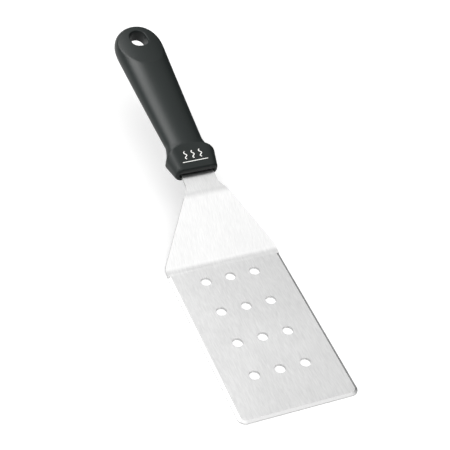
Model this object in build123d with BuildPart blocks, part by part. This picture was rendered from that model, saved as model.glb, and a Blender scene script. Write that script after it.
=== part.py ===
"""Grill spatula: a perforated, bevelled steel blade whose tang is held inside a moulded handle.

Units are millimetres. X runs across the blade, +Y from the tip towards the handle, +Z up.
The origin is on the blade's underside, at the middle of the pattern of drain holes.
"""

from build123d import *
from math import atan, atan2, cos, degrees, hypot, pi, radians, sin, tan
import os

# Sheet steel
sheet = 1.8
blade_width = 80.0
tip_to_origin = 73.9
origin_to_heel = 55.5
tip_corner_radius = 5.0
heel_corner_radius = 8.0
heel_bend_radius = 9.0
neck_bend_radius = 12.0
bevel_width = 1.7
bevel_depth = 1.0

# Drain holes, in a grid centred on the origin
hole_diameter = 7.2
hole_columns = 3
hole_rows = 4
hole_pitch_across = 17.4
hole_pitch_along = 27.6

# Flare, from the blade's heel up to the neck
flare_run = 36.8
flare_rise = 30.3
flare_top_width = 31.5
flare_corner_rise = 3.4

# Neck and tang, which rise gently into the handle
tang_slope = 8.0
neck_length = 18.2
neck_width = 23.2
neck_fillet = 8.0
tang_width = 15.0
tang_shoulder = 4.0
shoulder_fillet = 1.5
tang_length = 80.0
overrun = 6.0
trim_depth = 8.0

# Handle. Stations are distances along it from the mouth, where the tang goes in
grip_length = 143.6
grip_wall = 2.6
station_spacing = 7.0
barrel_start = 16.0
mouth_half_width = 12.3
half_width_growth = 0.047
mouth_half_height = 7.4
half_height_growth = 0.045
mouth_lift = 1.8
butt_drop = 1.35
butt_start = 118.3
butt_roundness = 2.25
butt_sections = 6
butt_last_share = 0.995

# Collar round the mouth
collar_front = (30.4, 11.8, 5.4)
collar_front_lift = 0.4
collar_back = (38.6, 20.9, 8.2)
collar_back_lift = -0.65
collar_loft_length = 22.0
collar_back_radius = 28.0
collar_reach = 20.8
collar_front_fillet = 2.0
collar_back_fillet = 0.8
collar_sink = 0.05

# Hollow shoulder that spreads the barrel out to the collar
shoulder_start = 14.5
shoulder_length = 15.5
shoulder_spread = 4.6
shoulder_hollow = 1.6
shoulder_sections = 6
shoulder_sink = 0.3

# Slot in the collar that the blade's neck enters
mouth_width = 24.9
mouth_gap_above = 0.6
mouth_gap_below = 0.3
mouth_depth = 6.0

# Hanging hole, and the crowned flats above and below it
hanging_hole_width = 12.0
hanging_hole_length = 17.0
hanging_hole_station = 126.5
hanging_hole_rim = 0.5
upper_flat = (98.0, 10.8, -5.2)
upper_flat_crown = 34.0
lower_flat = (84.0, -14.8, 12.6)
lower_flat_crown = 400.0
flat_cut_size = 80.0
flat_cut_overlap = 20.0

# Inner core, two half shells clamped round the tang
core_start = 7.0
core_end = 90.0
core_gap = 0.05
core_wall = 2.2
core_sections = 5
rib_thickness = 1.8
rib_stations = [14.0, 35.5, 58.5, 83.5]
peg_stations = [24.0, 47.0, 70.0]
peg_diameter = 4.8
peg_hole_diameter = 5.2
peg_reach = 4.5
boss_diameter = 9.5
slip = 0.15

# Worked out from the sizes above
half_sheet = sheet / 2
half_blade = blade_width / 2
flare_slope = degrees(atan2(flare_rise, flare_run))
flare_length = hypot(flare_run, flare_rise)
side_slope = (half_blade - flare_top_width / 2) / (flare_length - flare_corner_rise)
along_y = cos(radians(tang_slope))
along_z = sin(radians(tang_slope))
bevel_end = origin_to_heel - heel_bend_radius * tan(radians(flare_slope / 2))
bevel_slope = degrees(atan2(bevel_width, bevel_depth))
heel_top = (origin_to_heel, sheet)
neck_top = (origin_to_heel + flare_run, sheet + flare_rise)
collar_front_top = collar_front[1] / 2 + collar_front_lift
collar_back_top = collar_back[1] / 2 + collar_back_lift
collar_top_turn = degrees(atan((collar_back_top - collar_front_top) / collar_loft_length))
mouth_y = neck_top[0] + neck_length * along_y + half_sheet * along_z
mouth_z = neck_top[1] + neck_length * along_z - half_sheet * along_y


def across_handle(station, height=0.0, turn=0.0):
    """Plane across the handle with local y up, moved up and tipped forwards by a turn in degrees."""
    slope = radians(tang_slope + turn)
    y = mouth_y + station * along_y - height * along_z
    z = mouth_z + station * along_z + height * along_y
    return Plane(origin=(0, y, z), x_dir=(-1, 0, 0), z_dir=(0, cos(slope), sin(slope)))


def along_tang(height=0.0):
    """Plane in line with the tang: local x across it, local y along it from the mouth."""
    origin = (0, mouth_y - height * along_z, mouth_z + height * along_y)
    return Plane(origin=origin, x_dir=(1, 0, 0), z_dir=(0, -along_z, along_y))


def middle_height(station):
    """Height of the barrel's middle above the tang's, falling away smoothly towards the butt."""
    return (mouth_lift + butt_drop) * (1 - station / grip_length) ** 2 - butt_drop


def rounding(station):
    """Share of the full section left at a station: one along the barrel, nothing at the very end."""
    reach = max(station - butt_start, 0.0) / (grip_length - butt_start)
    return (1 - reach**butt_roundness) ** (1 / butt_roundness)


def barrel_section(station, inset=0.0, spread=0.0):
    """Ellipse across the barrel, smaller by the inset all round and wider by the spread."""
    share = rounding(station)
    wide = (mouth_half_width + half_width_growth * station) * share - inset + spread
    high = (mouth_half_height + half_height_growth * station) * share - inset
    with BuildSketch(across_handle(station), mode=Mode.PRIVATE) as section:
        with Locations((0, middle_height(station))):
            Ellipse(wide, high)
    return section.sketch


def grip_stations():
    """Even stations along the barrel, then closer ones that follow the round butt."""
    count = round((butt_start - barrel_start) / station_spacing)
    barrel = [barrel_start + (butt_start - barrel_start) * k / count for k in range(count)]
    reach = grip_length - butt_start
    shares = [sin(pi / 2 * k / butt_sections) for k in range(butt_sections)] + [butt_last_share]
    return barrel + [butt_start + reach * share for share in shares]


def shoulder_section(step):
    """Barrel section that spreads in a hollow curve as it nears the collar."""
    share = step / shoulder_sections
    spread = shoulder_spread * (1 - share) ** shoulder_hollow
    return barrel_section(shoulder_start + shoulder_length * share, shoulder_sink, spread)


def inner_barrel(start, end, inset):
    """Solid that follows the barrel's inside from one station to another."""
    step = (end - start) / (core_sections - 1)
    stations = [start + step * k for k in range(core_sections)]
    with BuildPart(mode=Mode.PRIVATE) as inside:
        loft([barrel_section(station, inset) for station in stations])
    return inside.part


def flat_cutter(station, height, turn, crown, side):
    """Waste outside a long, gently crowned flat: above it for side 1, below it for side -1."""
    with BuildPart(mode=Mode.PRIVATE) as cutter:
        with BuildSketch(across_handle(station, height, turn)):
            with Locations((0, side * (flat_cut_size / 2 - flat_cut_overlap))):
                Rectangle(flat_cut_size, flat_cut_size)
            with Locations((0, -side * crown)):
                Circle(crown, mode=Mode.SUBTRACT)
        extrude(amount=flat_cut_size, both=True)
    return cutter.part


# Waste that grinding takes off the top of the tip and both sides, as far as the heel bend
with BuildPart() as bevel_waste:
    with BuildSketch(Plane.XY.offset(sheet - bevel_depth)):
        with Locations((0, (bevel_end - tip_to_origin - overrun) / 2)):
            Rectangle(blade_width + 2 * overrun, bevel_end + tip_to_origin + overrun)
    extrude(amount=bevel_depth)
    with BuildSketch(Plane.XY.offset(sheet - bevel_depth)):
        with Locations((0, (bevel_end + overrun - tip_to_origin) / 2)):
            RectangleRounded(blade_width, bevel_end + overrun + tip_to_origin, tip_corner_radius)
    extrude(amount=bevel_depth, taper=bevel_slope, mode=Mode.SUBTRACT)

# Blade: one bent sheet, from the bevelled tip to the end of the tang
with BuildPart() as blade:
    with BuildSketch(Plane.YZ):
        with BuildLine():
            tang_far = neck_length + tang_length
            tail_top = (neck_top[0] + tang_far * along_y, neck_top[1] + tang_far * along_z)
            bends = [heel_bend_radius, neck_bend_radius]
            FilletPolyline((-tip_to_origin, sheet), heel_top, neck_top, tail_top, radius=bends)
            offset(amount=sheet, side=Side.RIGHT)
        make_face()
    extrude(amount=half_blade, both=True)

    # Sides of the flare, cut square to its slope
    flare_plane = Plane(
        origin=(0, origin_to_heel, sheet),
        x_dir=(1, 0, 0),
        z_dir=(0, -sin(radians(flare_slope)), cos(radians(flare_slope))),
    )
    outside = half_blade + overrun
    with BuildSketch(flare_plane):
        with BuildLine():
            past = flare_length + overrun
            corner = (half_blade, flare_corner_rise)
            inner = (half_blade - side_slope * (past - flare_corner_rise), past)
            FilletPolyline((half_blade, -overrun), corner, inner, radius=heel_corner_radius)
            Polyline(inner, (outside, past), (outside, -overrun), (half_blade, -overrun))
        make_face()
        mirror(about=Plane.YZ)
    extrude(amount=trim_depth, both=True, mode=Mode.SUBTRACT)

    # Sides of the neck and tang
    with BuildSketch(along_tang()):
        with BuildLine():
            half_neck = neck_width / 2
            half_tang = tang_width / 2
            start = (flare_top_width / 2, -neck_length)
            meets_neck = (half_neck, -neck_length + (flare_top_width / 2 - half_neck) / side_slope)
            end = (half_tang, tang_length + overrun)
            FilletPolyline(
                start,
                meets_neck,
                (half_neck, tang_shoulder),
                (half_tang, tang_shoulder),
                end,
                radius=[neck_fillet, shoulder_fillet, shoulder_fillet],
            )
            Polyline(end, (outside, tang_length + overrun), (outside, -neck_length), start)
        make_face()
        mirror(about=Plane.YZ)
    extrude(amount=trim_depth, both=True, mode=Mode.SUBTRACT)
    fillet(blade.edges().filter_by(Axis.Z).group_by(Axis.Y)[0], tip_corner_radius)

    add(bevel_waste.part, mode=Mode.SUBTRACT)
    with GridLocations(hole_pitch_across, hole_pitch_along, hole_columns, hole_rows):
        Hole(hole_diameter / 2)
    with BuildSketch(along_tang()):
        with Locations(*[(0, station) for station in peg_stations]):
            Circle(peg_hole_diameter / 2)
    extrude(amount=sheet, both=True, mode=Mode.SUBTRACT)

# Collar: a flat, widening block whose back is an arc, fused to the front of the barrel
with BuildPart() as collar:
    with BuildSketch(across_handle(0, collar_front_lift)):
        RectangleRounded(*collar_front)
    with BuildSketch(across_handle(collar_loft_length, collar_back_lift)):
        RectangleRounded(*collar_back)
    loft()
    with BuildSketch(along_tang()):
        with Locations((0, collar_reach - collar_back_radius)):
            Circle(collar_back_radius)
    extrude(amount=collar_back[1], both=True, mode=Mode.INTERSECT)
    fillet(collar.faces().sort_by(Axis.Y)[0].edges(), collar_front_fillet)
    fillet(collar.faces().sort_by(Axis.Y)[-1].edges(), collar_back_fillet)

# Grip: the outer moulding, barrel and collar in one
with BuildPart() as grip:
    loft([barrel_section(station) for station in grip_stations()])
    add(flat_cutter(*upper_flat, upper_flat_crown, 1), mode=Mode.SUBTRACT)
    add(flat_cutter(*lower_flat, lower_flat_crown, -1), mode=Mode.SUBTRACT)
    loft([shoulder_section(step) for step in range(shoulder_sections + 1)])

    # Anything of the barrel above the collar's flat top is trimmed away before the collar is added
    with BuildSketch(across_handle(0, collar_front_top - collar_sink, collar_top_turn)):
        with Locations((0, collar_back[1] / 2)):
            Rectangle(2 * collar_back[1], collar_back[1])
    extrude(amount=collar_reach, mode=Mode.SUBTRACT)
    add(collar.part)

    # Hanging hole with an eased rim
    with BuildSketch(along_tang()):
        with Locations((0, hanging_hole_station)):
            SlotOverall(hanging_hole_length, hanging_hole_width, rotation=90)
    extrude(amount=collar_back[1], both=True, mode=Mode.SUBTRACT)
    hole_axis = Axis((0, 0, 0), along_tang().z_dir)
    fillet(grip.edges(Select.LAST).filter_by(hole_axis, reverse=True), hanging_hole_rim)

    # Cavity that the core fills, and the slot that the neck goes through
    add(inner_barrel(mouth_depth, core_end + core_gap, grip_wall), mode=Mode.SUBTRACT)
    with BuildSketch(across_handle(0)):
        with Locations((0, (mouth_gap_above - mouth_gap_below) / 2)):
            Rectangle(mouth_width, sheet + mouth_gap_above + mouth_gap_below)
    extrude(amount=mouth_depth, mode=Mode.SUBTRACT)

# Core: two half shells with ribs and pegs, closed round the tang
with BuildPart() as core_blank:
    add(inner_barrel(core_start, core_end, grip_wall + core_gap))
    hollow = inner_barrel(core_start + core_wall, core_end - core_wall, grip_wall + core_wall)
    add(hollow, mode=Mode.SUBTRACT)

with BuildPart() as core_inside:
    add(inner_barrel(core_start, core_end, grip_wall + core_gap))


def core_half(side):
    """One half of the core: side 1 above the tang, side -1 below it."""
    reach = collar_back[1]
    with BuildPart(mode=Mode.PRIVATE) as half:
        with BuildSketch(across_handle(core_start)):
            with Locations((0, side * reach / 2)):
                Rectangle(2 * reach, reach)
        extrude(amount=core_end - core_start)
        add(core_blank.part, mode=Mode.INTERSECT)
    with BuildPart(mode=Mode.PRIVATE) as stiffening:
        for station in rib_stations:
            with BuildSketch(across_handle(station)):
                with Locations((0, side * reach / 2)):
                    Rectangle(2 * reach, reach)
            extrude(amount=rib_thickness / 2, both=True)
        with BuildSketch(along_tang()):
            with Locations(*[(0, station) for station in peg_stations]):
                Circle(boss_diameter / 2)
        extrude(amount=side * reach)
        add(core_inside.part, mode=Mode.INTERSECT)
    return half.part, stiffening.part


pocket_width = tang_width + 2 * slip
upper_shell, upper_ribs = core_half(1)
with BuildPart() as core_upper:
    add(upper_shell)
    add(upper_ribs)
    with BuildSketch(across_handle(core_start)):
        Rectangle(pocket_width, sheet + 2 * slip)
    extrude(amount=tang_length - core_start + slip, mode=Mode.SUBTRACT)
    with BuildSketch(along_tang()):
        with Locations(*[(0, station) for station in peg_stations]):
            Circle(peg_diameter / 2 + slip)
    extrude(amount=half_sheet + peg_reach + slip, mode=Mode.SUBTRACT)

lower_shell, lower_ribs = core_half(-1)
with BuildPart() as core_lower:
    add(lower_shell)
    add(lower_ribs)
    with BuildSketch(across_handle(core_start)):
        Rectangle(pocket_width, sheet + 2 * slip)
    extrude(amount=tang_length - core_start + slip, mode=Mode.SUBTRACT)
    with BuildSketch(along_tang(-half_sheet - slip)):
        with Locations(*[(0, station) for station in peg_stations]):
            Circle(peg_diameter / 2)
    extrude(amount=sheet + slip + peg_reach)

os.makedirs("parts", exist_ok=True)
pieces = {"blade": blade, "grip": grip, "core_upper": core_upper, "core_lower": core_lower}
for name, piece in pieces.items():
    piece.part.label = name
    export_step(piece.part, f"parts/{name}.step")
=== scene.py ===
"""Looks for the grill spatula: brushed steel, a satin moulded grip, a generic mark and soft studio light."""

from math import atan2, cos, pi, radians, sin, tan

import bmesh
import bpy
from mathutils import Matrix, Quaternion, Vector


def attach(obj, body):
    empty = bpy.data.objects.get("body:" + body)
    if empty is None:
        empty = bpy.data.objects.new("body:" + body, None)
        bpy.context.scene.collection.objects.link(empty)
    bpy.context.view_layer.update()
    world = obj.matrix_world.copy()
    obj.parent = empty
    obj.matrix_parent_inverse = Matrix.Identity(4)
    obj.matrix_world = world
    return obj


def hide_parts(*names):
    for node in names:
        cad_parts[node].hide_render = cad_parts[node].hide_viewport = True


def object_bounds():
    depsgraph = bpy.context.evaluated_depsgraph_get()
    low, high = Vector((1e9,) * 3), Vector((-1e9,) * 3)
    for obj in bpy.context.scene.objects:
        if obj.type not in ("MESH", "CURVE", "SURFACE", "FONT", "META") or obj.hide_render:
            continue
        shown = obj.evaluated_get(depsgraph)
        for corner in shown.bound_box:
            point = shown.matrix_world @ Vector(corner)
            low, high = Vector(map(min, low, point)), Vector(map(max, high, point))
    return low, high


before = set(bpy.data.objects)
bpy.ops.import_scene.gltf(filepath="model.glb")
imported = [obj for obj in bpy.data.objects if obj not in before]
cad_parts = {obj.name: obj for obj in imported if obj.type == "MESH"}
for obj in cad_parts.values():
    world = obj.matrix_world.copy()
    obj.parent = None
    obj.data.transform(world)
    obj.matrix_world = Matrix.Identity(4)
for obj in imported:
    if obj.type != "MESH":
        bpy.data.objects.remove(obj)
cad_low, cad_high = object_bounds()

MM = 0.001
WHITE = (1.0, 1.0, 1.0, 1.0)

# Camera: where it looks, from which side, and how far away it stands
CAMERA_TARGET = Vector((15.5, 89.4, 0.0)) * MM
CAMERA_AZIMUTH = radians(-26.8)
CAMERA_ELEVATION = radians(43.6)
CAMERA_ROLL = radians(7.2)
CAMERA_DISTANCE = 887 * MM
CAMERA_LENS = 102.6
CAMERA_SENSOR = 36.0

# Softening of the grip's creases
GRIP_VOXEL = 0.45 * MM
GRIP_SMOOTHING_STEPS = 8
GRIP_SMOOTHING = 0.5

# Handle: its slope, the middle of its mouth, and the flat top of its collar above the handle's axis
HANDLE_SLOPE = radians(8.0)
MOUTH = Vector((0.0, 110.45, 33.74)) * MM
COLLAR_TOP_START = 6.3 * MM
COLLAR_TOP_TILT = atan2(3.5, 22.0)

# Generic mark on the collar: waves over a line, as strokes of ink rooted a little way in the plastic
MARK_STATION = 5.5 * MM
MARK_RAISED = 0.12 * MM
MARK_SUNK = 0.10 * MM
MARK_STEPS = 24
WAVE_CENTRES = (-5.4 * MM, 0.0, 5.4 * MM)
WAVE_START = 2.2 * MM
WAVE_LENGTH = 6.0 * MM
WAVE_SWAY = 0.8 * MM
WAVE_HALF_PERIODS = 3
WAVE_HALF_WIDTH = 0.30 * MM
LINE_REACH = 9.2 * MM
LINE_HALF_WIDTH = 0.24 * MM

# Noises: repeats per metre along each axis, and detail. Nearly all of their values lie in the span
NOISE_SPAN = (0.3, 0.7)
STREAKS = ((1300.0, 150.0, 150.0), 2.0)
SCRATCHES = ((3200.0, 260.0, 260.0), 1.0)
STEEL_CLOUDS = ((20.0, 20.0, 20.0), 3.0)
MOULD_GRAIN = ((2200.0, 2200.0, 2200.0), 2.0)
MOULD_PATCHES = ((35.0, 18.0, 35.0), 3.0)
INK_PATCHES = ((900.0, 900.0, 900.0), 2.0)

# Steel: dark and light colour of its brushed lines, smooth and rough clouds, and the lines' own effect
STEEL_DARK = (0.595, 0.595, 0.595, 1.0)
STEEL_LIGHT = (0.705, 0.705, 0.702, 1.0)
STEEL_ROUGHNESS = (0.31, 0.37)
STEEL_ANISOTROPY = 0.85
ACROSS_THE_BRUSHING = {"X": 1.0, "Y": 0.01, "Z": 0.02}
BRUSHED_SPAN = (0.35, 0.65)
BRUSHED_ROUGHNESS = (-0.02, 0.02)
BRUSHED_BUMP = (0.12, 0.02 * MM)

# Ground bevels: how far their faces turn sideways or to the front, where the tip is, their colour, a darker
# tone painted on as shade, and how much smoother they are
BEVEL_SIDE_TURN = (0.25, 0.45)
BEVEL_FRONT_TURN = (-0.25, -0.45)
BEVEL_TIP_ZONE = (-60.0 * MM, -70.0 * MM)
BEVEL_PAINTED_SHADE = (0.54, 0.54, 0.54, 1.0)
BEVEL_SMOOTHER = 0.08

# Plastics: dark and light colour, smooth and rough, bump strength and the grain's height
PLASTIC_SPECULAR = 0.26
GRIP_PLASTIC = ((0.0055, 0.0080, 0.0076, 1.0), (0.0085, 0.0118, 0.0112, 1.0), (0.38, 0.44), (0.3, 0.03 * MM))
CORE_PLASTIC = ((0.10, 0.10, 0.10, 1.0), (0.13, 0.13, 0.13, 1.0), (0.55, 0.65), (0.3, 0.05 * MM))

# White ink
INK_DARK = (0.62, 0.62, 0.60, 1.0)
INK_LIGHT = (0.80, 0.80, 0.78, 1.0)
INK_ROUGHNESS = (0.45, 0.6)
INK_SPECULAR = 0.3
INK_BUMP = (0.2, 0.01 * MM)

# Floor: pale paper with a faint glow, which the steel and plastic mirror as dark to the right
FLOOR_SIZE = 8.0
FLOOR_GAP = 0.1 * MM
FLOOR_COLOUR = (0.93, 0.93, 0.93, 1.0)
FLOOR_REFLECTED = (0.04, 0.04, 0.04, 1.0)
FLOOR_FADE = (50.0 * MM, 120.0 * MM)
FLOOR_ROUGHNESS = 0.9
FLOOR_SPECULAR = 0.1
FLOOR_LIFT = 0.18

# Studio dome: start and end of each part of the direction looked in, and the strength at each
DOME_BY_HEIGHT = (0.0, 0.82, 0.04, 1.42)
DOME_BY_DEPTH = (-0.55, 0.25, 1.66, 0.98)
DOME_BY_SIDE = (-0.6, 0.9, 1.00, 0.54)

# Softboxes: azimuth from +Y towards +X, elevation, distance and size in metres, and radiance
KEY_LIGHT = (radians(-48), radians(43), 1.2, 0.7, 8.4)
RIM_LIGHT = (radians(-78), radians(14), 1.2, 0.5, 3.0)
SIDE_LIGHT = (radians(-50), radians(40), 0.9, 0.9, 2.0)


def nodes_of(material):
    """The material's node tree and its shader."""
    material.use_nodes = True
    tree = material.node_tree
    return tree, tree.nodes["Principled BSDF"]


def add(tree, kind, **inputs):
    """A new node of a kind, with its named inputs set."""
    node = tree.nodes.new(kind)
    for name, value in inputs.items():
        node.inputs[name].default_value = value
    return node


def put(tree, value, socket):
    """Links a socket into another one, or sets it to a plain number or colour."""
    if isinstance(value, bpy.types.NodeSocket):
        tree.links.new(value, socket)
    else:
        socket.default_value = value


def axes_of(tree, source):
    """The X, Y and Z of a texture coordinate, such as Object or Normal."""
    place = add(tree, "ShaderNodeTexCoord")
    axes = add(tree, "ShaderNodeSeparateXYZ")
    put(tree, place.outputs[source], axes.inputs["Vector"])
    return axes.outputs


def noise(tree, scale, detail):
    """Fractal noise on the object's own coordinates, from 0 to 1."""
    place = add(tree, "ShaderNodeTexCoord")
    stretch = add(tree, "ShaderNodeMapping", Scale=scale)
    grain = add(tree, "ShaderNodeTexNoise", Scale=1.0, Detail=detail)
    put(tree, place.outputs["Object"], stretch.inputs["Vector"])
    put(tree, stretch.outputs["Vector"], grain.inputs["Vector"])
    return grain.outputs["Fac"]


def ranged(tree, value, start, end, low, high, easing="LINEAR"):
    """A value spread from low to high as it goes from start to end, and held beyond them."""
    spread = add(tree, "ShaderNodeMapRange")
    spread.interpolation_type = easing
    for name, limit in (("From Min", start), ("From Max", end), ("To Min", low), ("To Max", high)):
        put(tree, limit, spread.inputs[name])
    put(tree, value, spread.inputs["Value"])
    return spread.outputs["Result"]


def tint(tree, share, dark, light):
    """A colour between dark and light, as the share goes from 0 to 1."""
    mix = add(tree, "ShaderNodeMix")
    mix.data_type = "RGBA"
    put(tree, share, mix.inputs["Factor"])
    put(tree, dark, mix.inputs["A"])
    put(tree, light, mix.inputs["B"])
    return mix.outputs["Result"]


def maths(tree, operation, first, second=0.0):
    """One sum on two values, each a socket or a number."""
    node = add(tree, "ShaderNodeMath")
    node.operation = operation
    put(tree, first, node.inputs[0])
    put(tree, second, node.inputs[1])
    return node.outputs[0]


def bump(tree, shader, height, strength, distance):
    """Raises the surface by a height map, without changing its outline."""
    raised = add(tree, "ShaderNodeBump", Strength=strength, Distance=distance)
    put(tree, height, raised.inputs["Height"])
    put(tree, raised.outputs["Normal"], shader.inputs["Normal"])


def ground_bevel(tree):
    """One on the ground bevels and cut edges, nothing on the sheet's broad faces."""
    facing = axes_of(tree, "Normal")
    spot = axes_of(tree, "Object")
    side = ranged(tree, maths(tree, "ABSOLUTE", facing["X"]), *BEVEL_SIDE_TURN, 0.0, 1.0)
    front = ranged(tree, facing["Y"], *BEVEL_FRONT_TURN, 0.0, 1.0)
    at_tip = ranged(tree, spot["Y"], *BEVEL_TIP_ZONE, 0.0, 1.0)
    return maths(tree, "MAXIMUM", side, maths(tree, "MULTIPLY", front, at_tip))


def brushed_steel():
    """Stainless sheet brushed along its length, with ground bevels painted darker as shade, faint streaks
    and handling marks.
    """
    steel = bpy.data.materials.new("brushed_steel")
    tree, shader = nodes_of(steel)
    shader.inputs["Metallic"].default_value = 1.0
    shader.inputs["Anisotropic"].default_value = STEEL_ANISOTROPY
    across = add(tree, "ShaderNodeCombineXYZ", **ACROSS_THE_BRUSHING)
    put(tree, across.outputs["Vector"], shader.inputs["Tangent"])
    streaks_and_scratches = maths(tree, "ADD", noise(tree, *STREAKS), noise(tree, *SCRATCHES))
    lines = maths(tree, "MULTIPLY", streaks_and_scratches, 0.5)
    bevel = ground_bevel(tree)
    sheet = tint(tree, ranged(tree, lines, *NOISE_SPAN, 0.0, 1.0), STEEL_DARK, STEEL_LIGHT)
    # The bevel and cut-edge faces get a darker colour: painted shade.
    put(tree, tint(tree, bevel, sheet, BEVEL_PAINTED_SHADE), shader.inputs["Base Color"])
    clouds = ranged(tree, noise(tree, *STEEL_CLOUDS), *NOISE_SPAN, *STEEL_ROUGHNESS)
    worn = maths(tree, "ADD", clouds, ranged(tree, lines, *BRUSHED_SPAN, *BRUSHED_ROUGHNESS))
    rough = maths(tree, "SUBTRACT", worn, maths(tree, "MULTIPLY", bevel, BEVEL_SMOOTHER))
    put(tree, rough, shader.inputs["Roughness"])
    bump(tree, shader, lines, *BRUSHED_BUMP)
    return steel


def moulded_plastic(name, dark, light, roughness, grain):
    """Satin moulded plastic: spark-eroded grain, slow changes of sheen, and a faint change of colour."""
    plastic = bpy.data.materials.new(name)
    tree, shader = nodes_of(plastic)
    shader.inputs["Specular IOR Level"].default_value = PLASTIC_SPECULAR
    patches = noise(tree, *MOULD_PATCHES)
    put(tree, tint(tree, patches, dark, light), shader.inputs["Base Color"])
    put(tree, ranged(tree, patches, *NOISE_SPAN, *roughness), shader.inputs["Roughness"])
    bump(tree, shader, noise(tree, *MOULD_GRAIN), *grain)
    return plastic


def white_print():
    """Pad-printed white ink: slightly uneven, with a dull sheen."""
    ink = bpy.data.materials.new("white_print")
    tree, shader = nodes_of(ink)
    shader.inputs["Specular IOR Level"].default_value = INK_SPECULAR
    patches = noise(tree, *INK_PATCHES)
    put(tree, tint(tree, patches, INK_DARK, INK_LIGHT), shader.inputs["Base Color"])
    put(tree, ranged(tree, patches, *NOISE_SPAN, *INK_ROUGHNESS), shader.inputs["Roughness"])
    bump(tree, shader, patches, *INK_BUMP)
    return ink


def give(piece, material):
    """Makes the material the piece's only one."""
    piece.data.materials.clear()
    piece.data.materials.append(material)


def soft_grip(material):
    """The grip's moulding with its creases and corners softened, as they leave the mould."""
    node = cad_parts["grip"]
    piece = bpy.data.objects.new("grip_moulding", node.data.copy())
    bpy.context.scene.collection.objects.link(piece)
    remesh = piece.modifiers.new("even", "REMESH")
    remesh.mode = "VOXEL"
    remesh.voxel_size = GRIP_VOXEL
    smooth = piece.modifiers.new("soften", "SMOOTH")
    smooth.factor = GRIP_SMOOTHING
    smooth.iterations = GRIP_SMOOTHING_STEPS
    graph = bpy.context.evaluated_depsgraph_get()
    made = bpy.data.meshes.new_from_object(piece.evaluated_get(graph))
    piece.modifiers.clear()
    piece.data = made
    made.shade_smooth()
    give(piece, material)
    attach(piece, "root")
    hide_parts("grip")
    return piece


def collar_spot(point, height):
    """Place of a point on the collar's flat top, across it and back along it, at a height above it."""
    station = MARK_STATION + point.y
    rise = COLLAR_TOP_START + station * tan(COLLAR_TOP_TILT) + height
    back = station * cos(HANDLE_SLOPE) - rise * sin(HANDLE_SLOPE)
    up = station * sin(HANDLE_SLOPE) + rise * cos(HANDLE_SLOPE)
    return Vector((point.x, MOUTH.y + back, MOUTH.z + up))


def stroke(work, points, half_width):
    """Adds a closed bar of ink, of even width, along points on the collar's top."""
    rows = []
    for k, point in enumerate(points):
        before = points[max(k - 1, 0)]
        after = points[min(k + 1, len(points) - 1)]
        along = (after - before).normalized()
        side = Vector((-along.y, along.x)) * half_width
        corners = ((side, -MARK_SUNK), (-side, -MARK_SUNK), (-side, MARK_RAISED), (side, MARK_RAISED))
        rows.append([work.verts.new(collar_spot(point + shift, height)) for shift, height in corners])
    for row, following in zip(rows, rows[1:]):
        for k in range(len(row)):
            work.faces.new((row[k - 1], row[k], following[k], following[k - 1]))
    for end in (rows[0], rows[-1]):
        work.faces.new(end)


def heat_mark(material):
    """A generic printed mark on the collar: rising waves of heat over a line."""
    work = bmesh.new()
    shares = [k / MARK_STEPS for k in range(MARK_STEPS + 1)]
    for centre in WAVE_CENTRES:
        wave = []
        for share in shares:
            sway = -WAVE_SWAY * sin(WAVE_HALF_PERIODS * pi * share)
            wave.append(Vector((centre + sway, WAVE_START + WAVE_LENGTH * share)))
        stroke(work, wave, WAVE_HALF_WIDTH)
    line = [Vector((LINE_REACH * (2 * share - 1), 0.0)) for share in shares]
    stroke(work, line, LINE_HALF_WIDTH)
    bmesh.ops.recalc_face_normals(work, faces=work.faces)
    mesh = bpy.data.meshes.new("collar_mark")
    work.to_mesh(mesh)
    work.free()
    piece = bpy.data.objects.new("collar_mark", mesh)
    bpy.context.scene.collection.objects.link(piece)
    give(piece, material)
    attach(piece, "root")
    return piece


def floor():
    """A wide, plain, pale floor just under the blade, which glossy rays see as dark off to the right: a
    painted dark reflection.
    """
    mesh = bpy.data.meshes.new("floor")
    half = FLOOR_SIZE / 2
    corners = [(-half, -half, 0), (half, -half, 0), (half, half, 0), (-half, half, 0)]
    mesh.from_pydata(corners, [], [(0, 1, 2, 3)])
    ground = bpy.data.objects.new("floor", mesh)
    ground.location.z = cad_low.z - FLOOR_GAP
    bpy.context.scene.collection.objects.link(ground)
    paper = bpy.data.materials.new("pale_paper")
    tree, shader = nodes_of(paper)
    shader.inputs["Roughness"].default_value = FLOOR_ROUGHNESS
    shader.inputs["Specular IOR Level"].default_value = FLOOR_SPECULAR
    shader.inputs["Emission Color"].default_value = WHITE
    seen = add(tree, "ShaderNodeLightPath")
    beyond = ranged(tree, axes_of(tree, "Object")["X"], *FLOOR_FADE, 0.0, 1.0)
    # Glossy rays see the floor dark beyond the fade: a painted dark reflection on the steel and plastic.
    dim = maths(tree, "MULTIPLY", seen.outputs["Is Glossy Ray"], beyond)
    put(tree, tint(tree, dim, FLOOR_COLOUR, FLOOR_REFLECTED), shader.inputs["Base Color"])
    lift = maths(tree, "MULTIPLY", seen.outputs["Is Camera Ray"], FLOOR_LIFT)
    put(tree, lift, shader.inputs["Emission Strength"])
    mesh.materials.append(paper)


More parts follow.
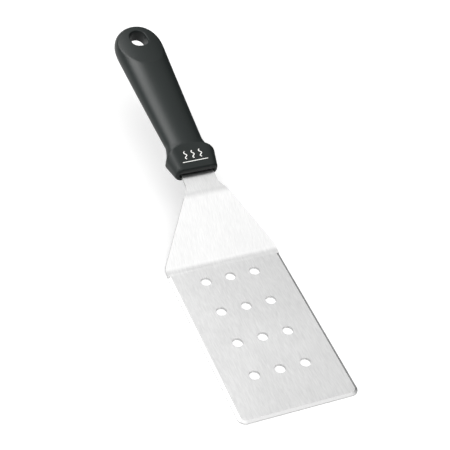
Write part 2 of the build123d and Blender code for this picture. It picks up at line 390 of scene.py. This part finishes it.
def softbox(name, lit, target, azimuth, elevation, distance, size, radiance):
    """A square soft light of a stated radiance, aimed at a target, which lights only the pieces lit."""
    away = Vector((sin(azimuth) * cos(elevation), cos(azimuth) * cos(elevation), sin(elevation)))
    light = bpy.data.lights.new(name, "AREA")
    light.shape = "SQUARE"
    light.size = size
    light.energy = radiance * pi * size * size
    lamp = bpy.data.objects.new(name, light)
    lamp.location = target + away * distance
    lamp.rotation_mode = "QUATERNION"
    lamp.rotation_quaternion = (-away).to_track_quat("-Z", "Y")
    lamp.visible_camera = False
    bpy.context.scene.collection.objects.link(lamp)
    receivers = bpy.data.collections.new(name + "_lights")
    for piece in lit:
        receivers.objects.link(piece)
    lamp.light_linking.receiver_collection = receivers


def sky():
    """A white studio dome: dark at the horizon, bright overhead, and brighter to the front and the left."""
    world = bpy.data.worlds.new("studio")
    bpy.context.scene.world = world
    world.use_nodes = True
    tree = world.node_tree
    background = tree.nodes["Background"]
    background.inputs["Color"].default_value = WHITE
    direction = axes_of(tree, "Generated")
    height = ranged(tree, direction["Z"], *DOME_BY_HEIGHT, "SMOOTHSTEP")
    depth = ranged(tree, direction["Y"], *DOME_BY_DEPTH, "SMOOTHSTEP")
    side = ranged(tree, direction["X"], *DOME_BY_SIDE, "SMOOTHSTEP")
    strength = maths(tree, "MULTIPLY", maths(tree, "MULTIPLY", height, depth), side)
    put(tree, strength, background.inputs["Strength"])


def camera():
    """A long lens looking down on the blade from the front left."""
    data = bpy.data.cameras.new("camera")
    data.lens = CAMERA_LENS
    data.sensor_width = CAMERA_SENSOR
    view = bpy.data.objects.new("camera", data)
    flat = cos(CAMERA_ELEVATION)
    back = Vector((sin(CAMERA_AZIMUTH) * flat, -cos(CAMERA_AZIMUTH) * flat, sin(CAMERA_ELEVATION)))
    view.location = CAMERA_TARGET + back * CAMERA_DISTANCE
    view.rotation_mode = "QUATERNION"
    level = (-back).to_track_quat("-Z", "Y")
    view.rotation_quaternion = level @ Quaternion((0, 0, 1), CAMERA_ROLL)
    bpy.context.scene.collection.objects.link(view)
    bpy.context.scene.camera = view


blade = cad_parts["blade"]
give(blade, brushed_steel())
core_plastic = moulded_plastic("core_plastic", *CORE_PLASTIC)
give(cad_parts["core_upper"], core_plastic)
give(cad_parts["core_lower"], core_plastic)
moulding = soft_grip(moulded_plastic("grip_plastic", *GRIP_PLASTIC))
mark = heat_mark(white_print())

floor()
sky()
middle = (cad_low + cad_high) / 2
softbox("key", [moulding, mark], middle, *KEY_LIGHT)
softbox("rim", [moulding, mark], middle, *RIM_LIGHT)
softbox("side", [blade], Vector((0, 0, 0)), *SIDE_LIGHT)
camera()
bpy.context.scene.view_settings.view_transform = "Standard"
